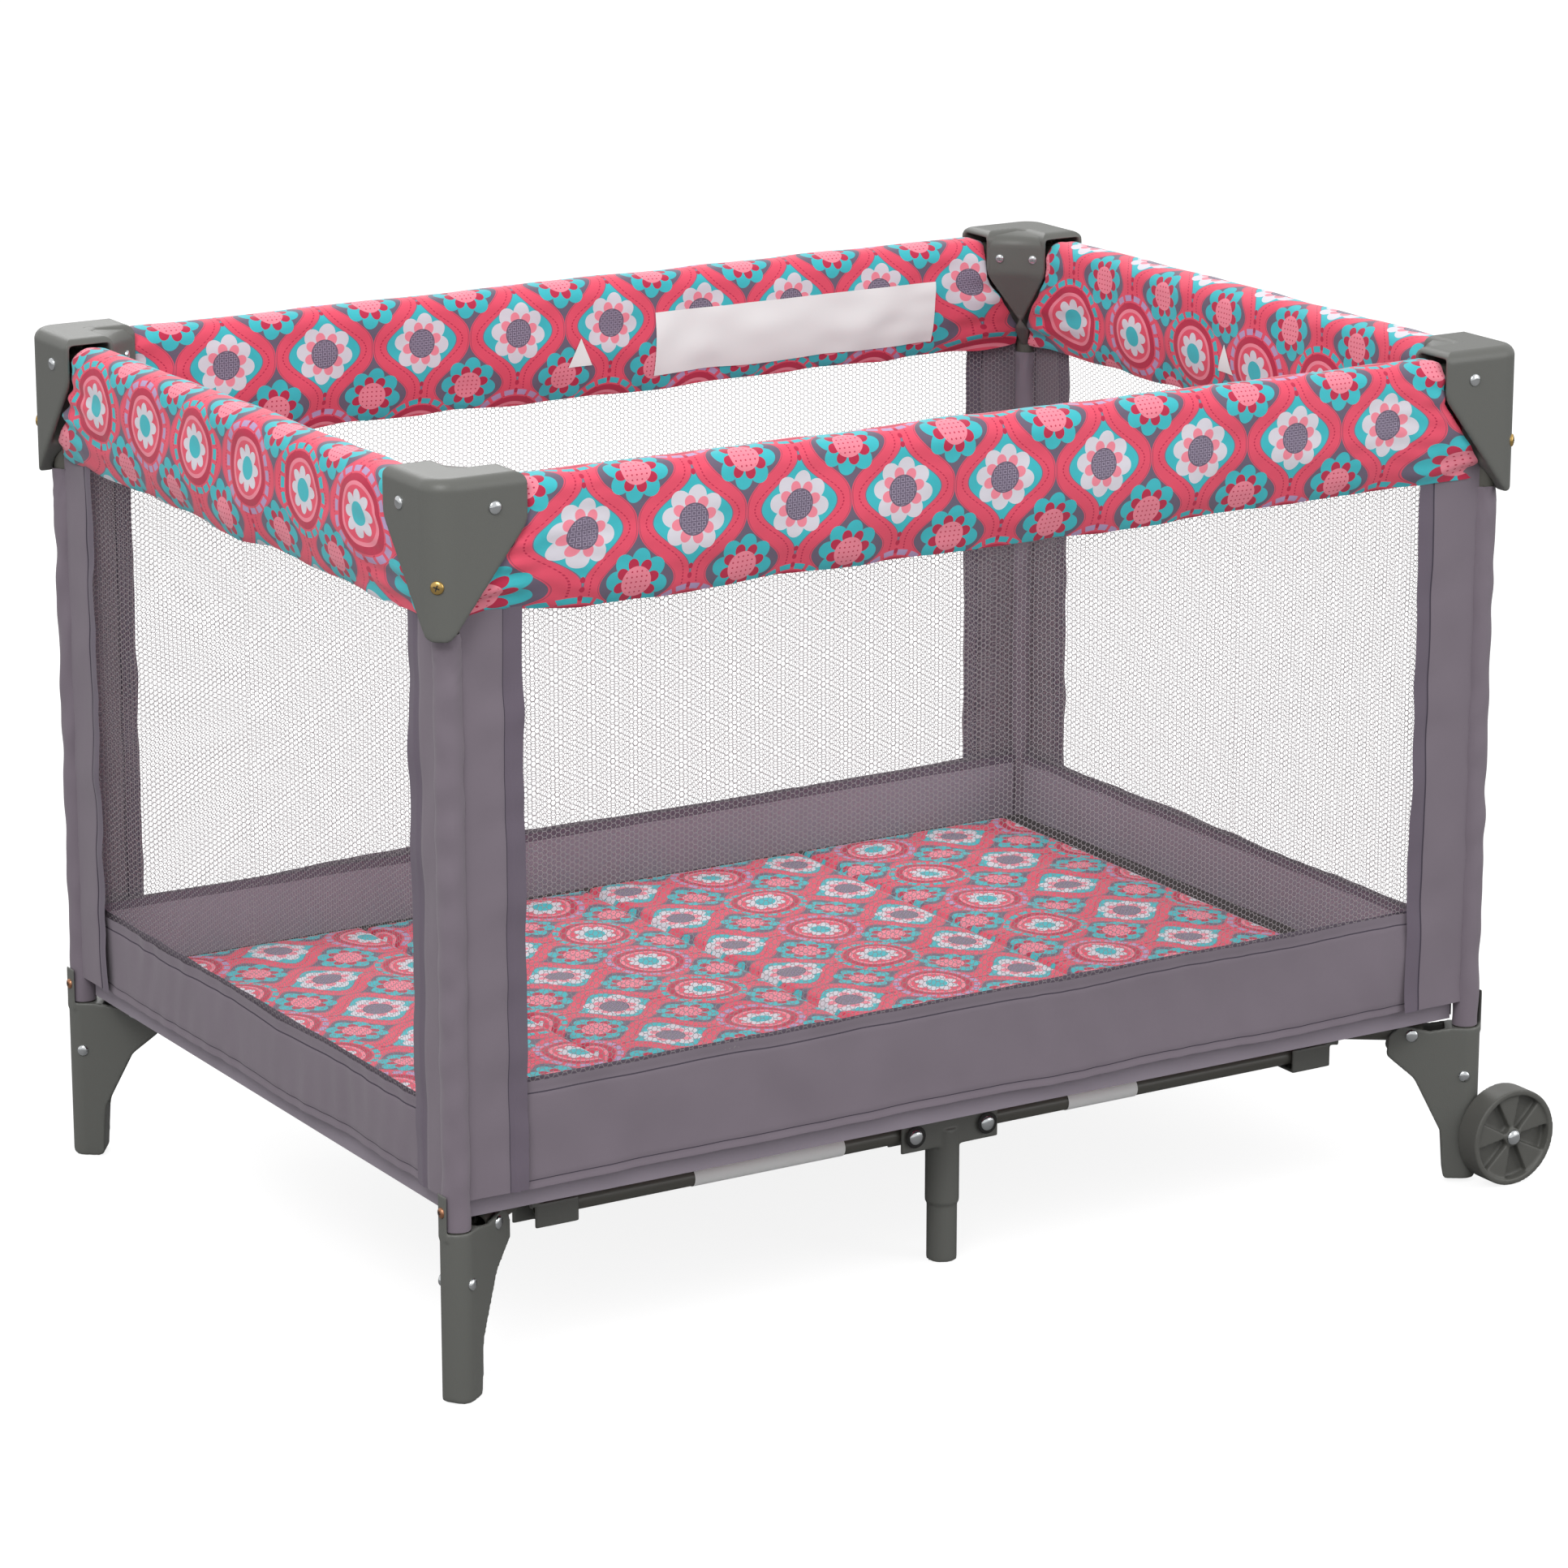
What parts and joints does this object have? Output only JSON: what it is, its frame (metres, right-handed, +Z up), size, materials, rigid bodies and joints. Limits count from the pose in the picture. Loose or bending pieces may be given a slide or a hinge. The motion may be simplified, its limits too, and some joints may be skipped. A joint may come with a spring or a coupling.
{
  "type": "travel play yard",
  "caption": "Folding play yard: four posts with corner brackets, padded hinged top rails, mesh tub, floor frame with hub, folding mattress, two wheels.",
  "frame": {"origin": "centre of the whole outline on the floor", "axes": "+X along the long side towards the wheeled end, +Y towards the back long side, +Z up"},
  "size_m": [1.0592, 0.759, 0.722],
  "materials": {
    "frame_plastic": "satin moulded, fine grain",
    "wheel_plastic": "satin moulded",
    "steel_tube": "semi-gloss dark grey paint",
    "fastener": "bright plated",
    "print_fabric": "printed woven polyester over padding",
    "wall_fabric": "woven polyester with mesh panels",
    "webbing": "flat woven strap"
  },
  "bodies": {
    "corner_fl": {"bracket_fl": "frame_plastic", "post_fl": "steel_tube", "leg_fl": "frame_plastic", "fasteners_fl": "fastener", "tub_front_left": "wall_fabric"},
    "corner_fr": {"bracket_fr": "frame_plastic", "post_fr": "steel_tube", "leg_fr": "frame_plastic", "fasteners_fr": "fastener"},
    "corner_bl": {"bracket_bl": "frame_plastic", "post_bl": "steel_tube", "leg_bl": "frame_plastic", "fasteners_bl": "fastener"},
    "corner_br": {"bracket_br": "frame_plastic", "post_br": "steel_tube", "leg_br": "frame_plastic", "fasteners_br": "fastener", "tub_back_right": "wall_fabric"},
    "rail_front_left": {"rail_front_left": "steel_tube"},
    "rail_front_right": {"rail_front_right": "steel_tube"},
    "rail_back_left": {"rail_back_left": "steel_tube"},
    "rail_back_right": {"rail_back_right": "steel_tube"},
    "rail_left_front": {"rail_left_front": "steel_tube"},
    "rail_left_back": {"rail_left_back": "steel_tube"},
    "rail_right_front": {"rail_right_front": "steel_tube"},
    "rail_right_back": {"rail_right_back": "steel_tube"},
    "latch_front": {"latch_housing_front": "frame_plastic", "rail_cover_front": "print_fabric"},
    "button_front": {"latch_button_front": "fastener"},
    "latch_back": {"latch_housing_back": "frame_plastic", "rail_cover_back": "print_fabric"},
    "button_back": {"latch_button_back": "fastener"},
    "latch_left": {"latch_housing_left": "frame_plastic", "rail_cover_left": "print_fabric"},
    "button_left": {"latch_button_left": "fastener"},
    "latch_right": {"latch_housing_right": "frame_plastic", "rail_cover_right": "print_fabric"},
    "button_right": {"latch_button_right": "fastener"},
    "floor_tube_fl": {"floor_tube_fl": "steel_tube"},
    "floor_tube_fr": {"floor_tube_fr": "steel_tube"},
    "floor_tube_bl": {"floor_tube_bl": "steel_tube"},
    "floor_tube_br": {"floor_tube_br": "steel_tube"},
    "hub": {"floor_hub": "frame_plastic"},
    "strap": {"pull_strap": "webbing"},
    "saddle_fl": {"saddle_fl": "frame_plastic"},
    "side_bar_fl": {"side_bar_fl": "steel_tube"},
    "saddle_fr": {"saddle_fr": "frame_plastic"},
    "side_bar_fr": {"side_bar_fr": "steel_tube"},
    "saddle_bl": {"saddle_bl": "frame_plastic"},
    "side_bar_bl": {"side_bar_bl": "steel_tube"},
    "saddle_br": {"saddle_br": "frame_plastic"},
    "side_bar_br": {"side_bar_br": "steel_tube"},
    "mid_foot_front": {"mid_foot_front": "frame_plastic"},
    "mid_foot_back": {"mid_foot_back": "frame_plastic"},
    "wheel_fr": {"wheel_fr": "wheel_plastic"},
    "wheel_br": {"wheel_br": "wheel_plastic"},
    "mattress_1": {"mattress_panel_1": "print_fabric"},
    "mattress_2": {"mattress_panel_2": "print_fabric"},
    "mattress_3": {"mattress_panel_3": "print_fabric"},
    "mattress_4": {"mattress_panel_4": "print_fabric"}
  },
  "joints": [
    {"name": "fold", "type": "hinge", "parent": "corner_fl", "child": "floor_tube_fl", "pos_m": [-0.46845, -0.31125, 0.13], "axis": [0.5722, -0.8201, 0], "range_deg": [0, 84], "deforming": ["rail_cover_front", "rail_cover_back", "rail_cover_left", "rail_cover_right", "tub_front_left", "tub_back_right", "mattress_panel_1", "mattress_panel_2", "mattress_panel_3", "mattress_panel_4"]},
    {"name": "hub_turn", "type": "hinge", "parent": "floor_tube_fl", "child": "hub", "pos_m": [-0.07287, -0.03525, 0.13], "axis": [0.5722, -0.8201, 0], "range_deg": [-84, 0]},
    {"name": "floor_tube_fr_turn", "type": "hinge", "parent": "hub", "child": "floor_tube_fr", "pos_m": [0.02817, -0.03525, 0.13], "axis": [0.5722, 0.8201, 0], "range_deg": [0, 84]},
    {"name": "corner_fr_turn", "type": "hinge", "parent": "floor_tube_fr", "child": "corner_fr", "pos_m": [0.42374, -0.31125, 0.13], "axis": [0.5722, 0.8201, 0], "range_deg": [-84, 0]},
    {"name": "floor_tube_bl_turn", "type": "hinge", "parent": "hub", "child": "floor_tube_bl", "pos_m": [-0.07287, 0.03525, 0.13], "axis": [-0.5722, -0.8201, 0], "range_deg": [0, 84]},
    {"name": "corner_bl_turn", "type": "hinge", "parent": "floor_tube_bl", "child": "corner_bl", "pos_m": [-0.46845, 0.31125, 0.13], "axis": [-0.5722, -0.8201, 0], "range_deg": [-84, 0]},
    {"name": "floor_tube_br_turn", "type": "hinge", "parent": "hub", "child": "floor_tube_br", "pos_m": [0.02817, 0.03525, 0.13], "axis": [-0.5722, 0.8201, 0], "range_deg": [0, 84]},
    {"name": "corner_br_turn", "type": "hinge", "parent": "floor_tube_br", "child": "corner_br", "pos_m": [0.42374, 0.31125, 0.13], "axis": [-0.5722, 0.8201, 0], "range_deg": [-84, 0]},
    {"name": "rail_front_left_turn", "type": "hinge", "parent": "corner_fl", "child": "rail_front_left", "pos_m": [-0.47535, -0.337, 0.698], "axis": [0, 1, 0], "range_deg": [0, 84]},
    {"name": "rail_front_right_turn", "type": "hinge", "parent": "corner_fr", "child": "rail_front_right", "pos_m": [0.43065, -0.337, 0.698], "axis": [0, -1, 0], "range_deg": [0, 84]},
    {"name": "rail_back_left_turn", "type": "hinge", "parent": "corner_bl", "child": "rail_back_left", "pos_m": [-0.47535, 0.337, 0.698], "axis": [0, 1, 0], "range_deg": [0, 84]},
    {"name": "rail_back_right_turn", "type": "hinge", "parent": "corner_br", "child": "rail_back_right", "pos_m": [0.43065, 0.337, 0.698], "axis": [0, -1, 0], "range_deg": [0, 84]},
    {"name": "rail_left_front_turn", "type": "hinge", "parent": "corner_fl", "child": "rail_left_front", "pos_m": [-0.50535, -0.307, 0.698], "axis": [-1, 0, 0], "range_deg": [0, 84]},
    {"name": "rail_left_back_turn", "type": "hinge", "parent": "corner_bl", "child": "rail_left_back", "pos_m": [-0.50535, 0.307, 0.698], "axis": [1, 0, 0], "range_deg": [0, 84]},
    {"name": "rail_right_front_turn", "type": "hinge", "parent": "corner_fr", "child": "rail_right_front", "pos_m": [0.46065, -0.307, 0.698], "axis": [-1, 0, 0], "range_deg": [0, 84]},
    {"name": "rail_right_back_turn", "type": "hinge", "parent": "corner_br", "child": "rail_right_back", "pos_m": [0.46065, 0.307, 0.698], "axis": [1, 0, 0], "range_deg": [0, 84]},
    {"name": "latch_front_turn", "type": "hinge", "parent": "rail_front_left", "child": "latch_front", "pos_m": [-0.07977, -0.337, 0.698], "axis": [0, 1, 0], "range_deg": [-84, 0]},
    {"name": "latch_button_front_press", "type": "slide", "parent": "latch_front", "child": "button_front", "axis": [0, 0, 1], "range_m": [0, 0.005], "stiffness_N_per_m": 400, "springref_m": -0.004},
    {"name": "latch_back_turn", "type": "hinge", "parent": "rail_back_left", "child": "latch_back", "pos_m": [-0.07977, 0.337, 0.698], "axis": [0, 1, 0], "range_deg": [-84, 0]},
    {"name": "latch_button_back_press", "type": "slide", "parent": "latch_back", "child": "button_back", "axis": [0, 0, 1], "range_m": [0, 0.005], "stiffness_N_per_m": 400, "springref_m": -0.004},
    {"name": "latch_left_turn", "type": "hinge", "parent": "rail_left_front", "child": "latch_left", "pos_m": [-0.50535, -0.031, 0.698], "axis": [-1, 0, 0], "range_deg": [-84, 0]},
    {"name": "latch_button_left_press", "type": "slide", "parent": "latch_left", "child": "button_left", "axis": [0, 0, 1], "range_m": [0, 0.005], "stiffness_N_per_m": 400, "springref_m": -0.004},
    {"name": "latch_right_turn", "type": "hinge", "parent": "rail_right_front", "child": "latch_right", "pos_m": [0.46065, -0.031, 0.698], "axis": [-1, 0, 0], "range_deg": [-84, 0]},
    {"name": "latch_button_right_press", "type": "slide", "parent": "latch_right", "child": "button_right", "axis": [0, 0, 1], "range_m": [0, 0.005], "stiffness_N_per_m": 400, "springref_m": -0.004},
    {"name": "saddle_fl_turn", "type": "hinge", "parent": "floor_tube_fl", "child": "saddle_fl", "pos_m": [-0.40932, -0.27, 0.13], "axis": [0.5722, -0.8201, 0], "range_deg": [-84, 0]},
    {"name": "side_bar_fl_turn", "type": "hinge", "parent": "saddle_fl", "child": "side_bar_fl", "pos_m": [-0.39332, -0.27, 0.114], "axis": [0, -1, 0], "range_deg": [0, 84]},
    {"name": "saddle_fr_turn", "type": "hinge", "parent": "floor_tube_fr", "child": "saddle_fr", "pos_m": [0.36462, -0.27, 0.13], "axis": [0.5722, 0.8201, 0], "range_deg": [-84, 0]},
    {"name": "side_bar_fr_turn", "type": "hinge", "parent": "saddle_fr", "child": "side_bar_fr", "pos_m": [0.34862, -0.27, 0.114], "axis": [0, 1, 0], "range_deg": [0, 84]},
    {"name": "saddle_bl_turn", "type": "hinge", "parent": "floor_tube_bl", "child": "saddle_bl", "pos_m": [-0.40932, 0.27, 0.13], "axis": [-0.5722, -0.8201, 0], "range_deg": [-84, 0]},
    {"name": "side_bar_bl_turn", "type": "hinge", "parent": "saddle_bl", "child": "side_bar_bl", "pos_m": [-0.39332, 0.27, 0.114], "axis": [0, -1, 0], "range_deg": [0, 84]},
    {"name": "saddle_br_turn", "type": "hinge", "parent": "floor_tube_br", "child": "saddle_br", "pos_m": [0.36462, 0.27, 0.13], "axis": [-0.5722, 0.8201, 0], "range_deg": [-84, 0]},
    {"name": "side_bar_br_turn", "type": "hinge", "parent": "saddle_br", "child": "side_bar_br", "pos_m": [0.34862, 0.27, 0.114], "axis": [0, 1, 0], "range_deg": [0, 84]},
    {"name": "mid_foot_front_turn", "type": "hinge", "parent": "side_bar_fl", "child": "mid_foot_front", "pos_m": [-0.05687, -0.27, 0.114], "axis": [0, -1, 0], "range_deg": [-84, 0]},
    {"name": "mid_foot_back_turn", "type": "hinge", "parent": "side_bar_bl", "child": "mid_foot_back", "pos_m": [-0.05687, 0.27, 0.114], "axis": [0, -1, 0], "range_deg": [-84, 0]},
    {"name": "strap_pull", "type": "slide", "parent": "hub", "child": "strap", "axis": [0, 0, 1], "range_m": [0, 0.1]},
    {"name": "mattress_lift", "type": "slide", "parent": "strap", "child": "mattress_2", "axis": [0, 0, 1], "range_m": [0, 0.6]},
    {"name": "mattress_fold", "type": "hinge", "parent": "mattress_2", "child": "mattress_3", "pos_m": [-0.02235, 0, 0.168], "axis": [0, -1, 0], "range_deg": [0, 90]},
    {"name": "mattress_fold_right", "type": "hinge", "parent": "mattress_3", "child": "mattress_4", "pos_m": [0.20365, 0, 0.168], "axis": [0, -1, 0], "range_deg": [0, 90]},
    {"name": "mattress_fold_left", "type": "hinge", "parent": "mattress_2", "child": "mattress_1", "pos_m": [-0.24835, 0, 0.168], "axis": [0, 1, 0], "range_deg": [0, 90]},
    {"name": "wheel_fr_spin", "type": "hinge", "parent": "corner_fr", "child": "wheel_fr", "pos_m": [0.48765, -0.363, 0.042], "axis": [0, 1, 0], "continuous": true},
    {"name": "wheel_br_spin", "type": "hinge", "parent": "corner_br", "child": "wheel_br", "pos_m": [0.48765, 0.363, 0.042], "axis": [0, 1, 0], "continuous": true}
  ],
  "couplings": [
    {"joint": "hub_turn", "follows": "fold", "ratio": -1},
    {"joint": "floor_tube_fr_turn", "follows": "fold", "ratio": 1},
    {"joint": "corner_fr_turn", "follows": "fold", "ratio": -1},
    {"joint": "floor_tube_bl_turn", "follows": "fold", "ratio": 1},
    {"joint": "corner_bl_turn", "follows": "fold", "ratio": -1},
    {"joint": "floor_tube_br_turn", "follows": "fold", "ratio": 1},
    {"joint": "corner_br_turn", "follows": "fold", "ratio": -1},
    {"joint": "rail_front_left_turn", "follows": "fold", "ratio": 1},
    {"joint": "rail_front_right_turn", "follows": "fold", "ratio": 1},
    {"joint": "rail_back_left_turn", "follows": "fold", "ratio": 1},
    {"joint": "rail_back_right_turn", "follows": "fold", "ratio": 1},
    {"joint": "rail_left_front_turn", "follows": "fold", "ratio": 1},
    {"joint": "rail_left_back_turn", "follows": "fold", "ratio": 1},
    {"joint": "rail_right_front_turn", "follows": "fold", "ratio": 1},
    {"joint": "rail_right_back_turn", "follows": "fold", "ratio": 1},
    {"joint": "latch_front_turn", "follows": "fold", "ratio": -1},
    {"joint": "latch_back_turn", "follows": "fold", "ratio": -1},
    {"joint": "latch_left_turn", "follows": "fold", "ratio": -1},
    {"joint": "latch_right_turn", "follows": "fold", "ratio": -1},
    {"joint": "saddle_fl_turn", "follows": "fold", "ratio": -1},
    {"joint": "side_bar_fl_turn", "follows": "fold", "ratio": 1},
    {"joint": "saddle_fr_turn", "follows": "fold", "ratio": -1},
    {"joint": "side_bar_fr_turn", "follows": "fold", "ratio": 1},
    {"joint": "saddle_bl_turn", "follows": "fold", "ratio": -1},
    {"joint": "side_bar_bl_turn", "follows": "fold", "ratio": 1},
    {"joint": "saddle_br_turn", "follows": "fold", "ratio": -1},
    {"joint": "side_bar_br_turn", "follows": "fold", "ratio": 1},
    {"joint": "mid_foot_front_turn", "follows": "fold", "ratio": -1},
    {"joint": "mid_foot_back_turn", "follows": "fold", "ratio": -1},
    {"joint": "strap_pull", "follows": "fold", "m_per_rad": 0.0682},
    {"joint": "mattress_fold_right", "follows": "mattress_fold", "ratio": 1},
    {"joint": "mattress_fold_left", "follows": "mattress_fold", "ratio": 1}
  ]
}
